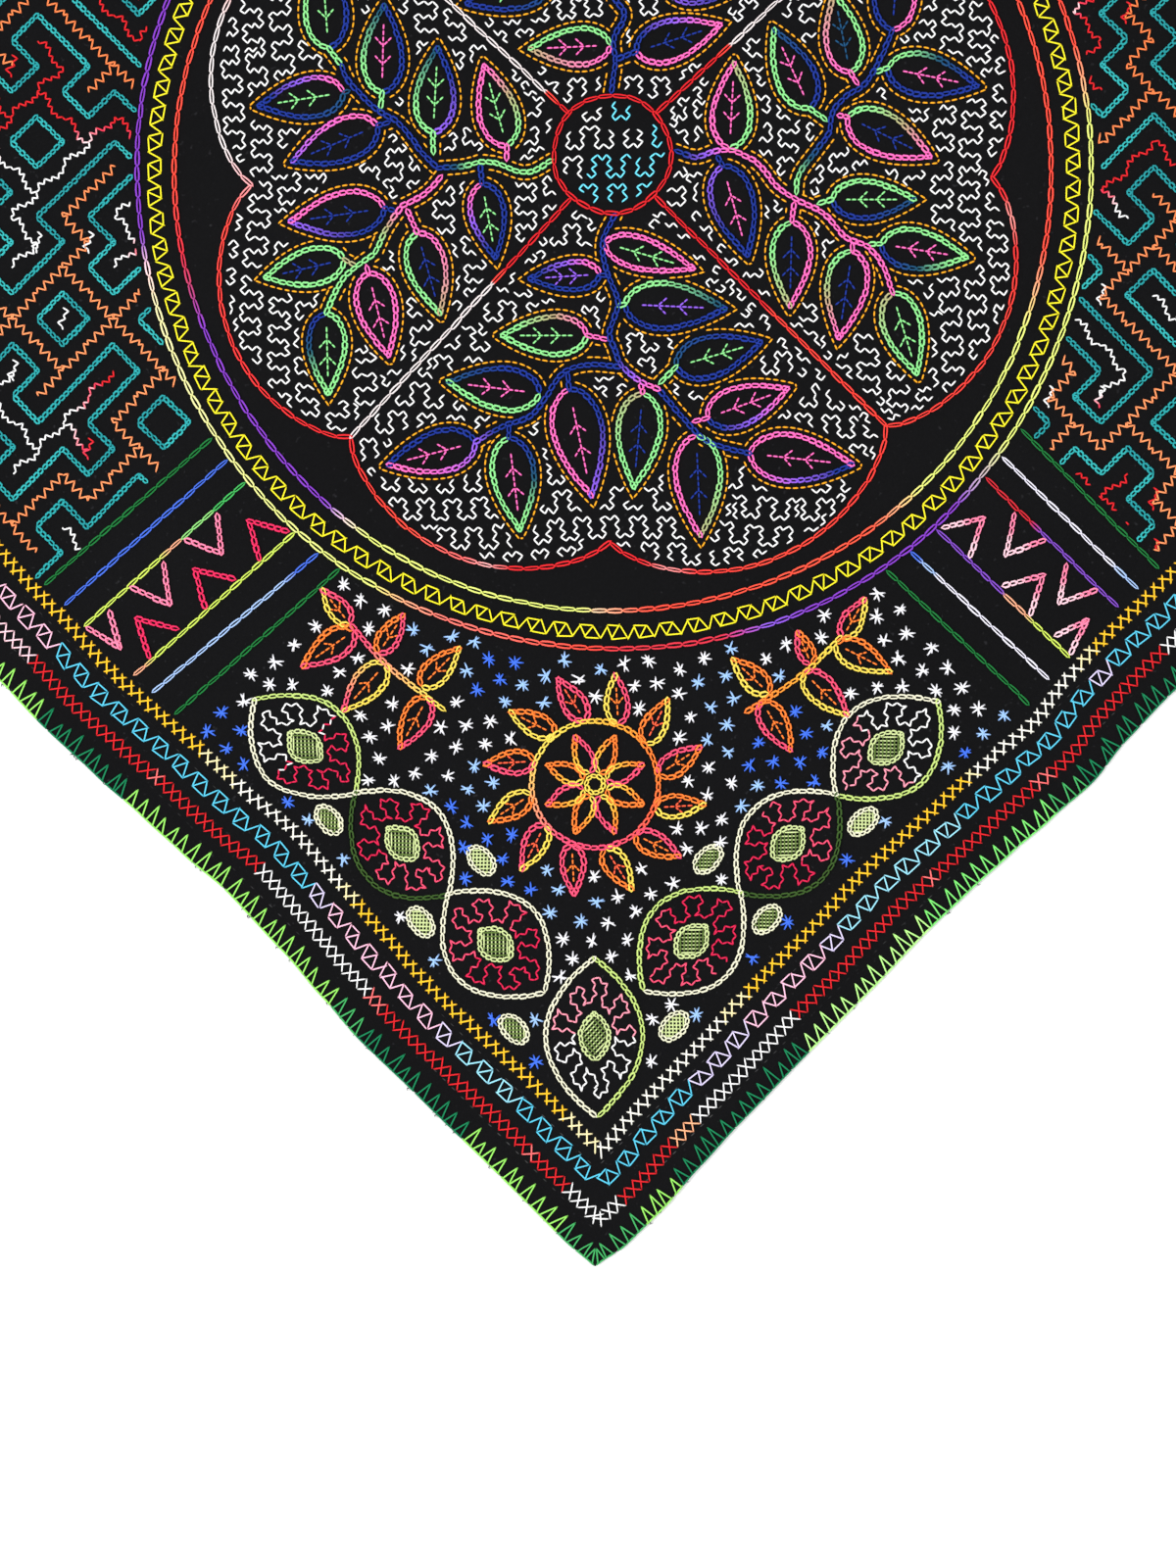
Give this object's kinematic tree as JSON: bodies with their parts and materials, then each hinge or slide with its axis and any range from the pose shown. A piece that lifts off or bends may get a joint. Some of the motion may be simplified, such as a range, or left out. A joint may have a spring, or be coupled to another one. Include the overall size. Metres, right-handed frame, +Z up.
{
  "type": "shipibo embroidered cloth",
  "caption": "Square black cotton cloth with a folded hem, embroidered all over in coloured thread, to lie on a table or hang on a wall.",
  "frame": {"origin": "on the surface that the cloth lies on, under the middle of its outline", "axes": "+Z up from that surface through the embroidered face; +X and +Y along the cloth's edges, so the corner that the picture shows nearest is at -X, -Y"},
  "size_m": [0.7042, 0.705, 0.0026],
  "materials": {
    "black_cotton": "matt black cotton, plain weave",
    "shaded_thread": "cotton embroidery thread, dyed in shades that change along it",
    "white_thread": "white cotton embroidery thread",
    "red_thread": "red cotton embroidery thread",
    "yellow_thread": "yellow cotton embroidery thread",
    "green_thread": "green cotton embroidery thread",
    "teal_thread": "teal cotton embroidery thread"
  },
  "bodies": {
    "root": {"cloth": "black_cotton"}
  },
  "joints": []
}
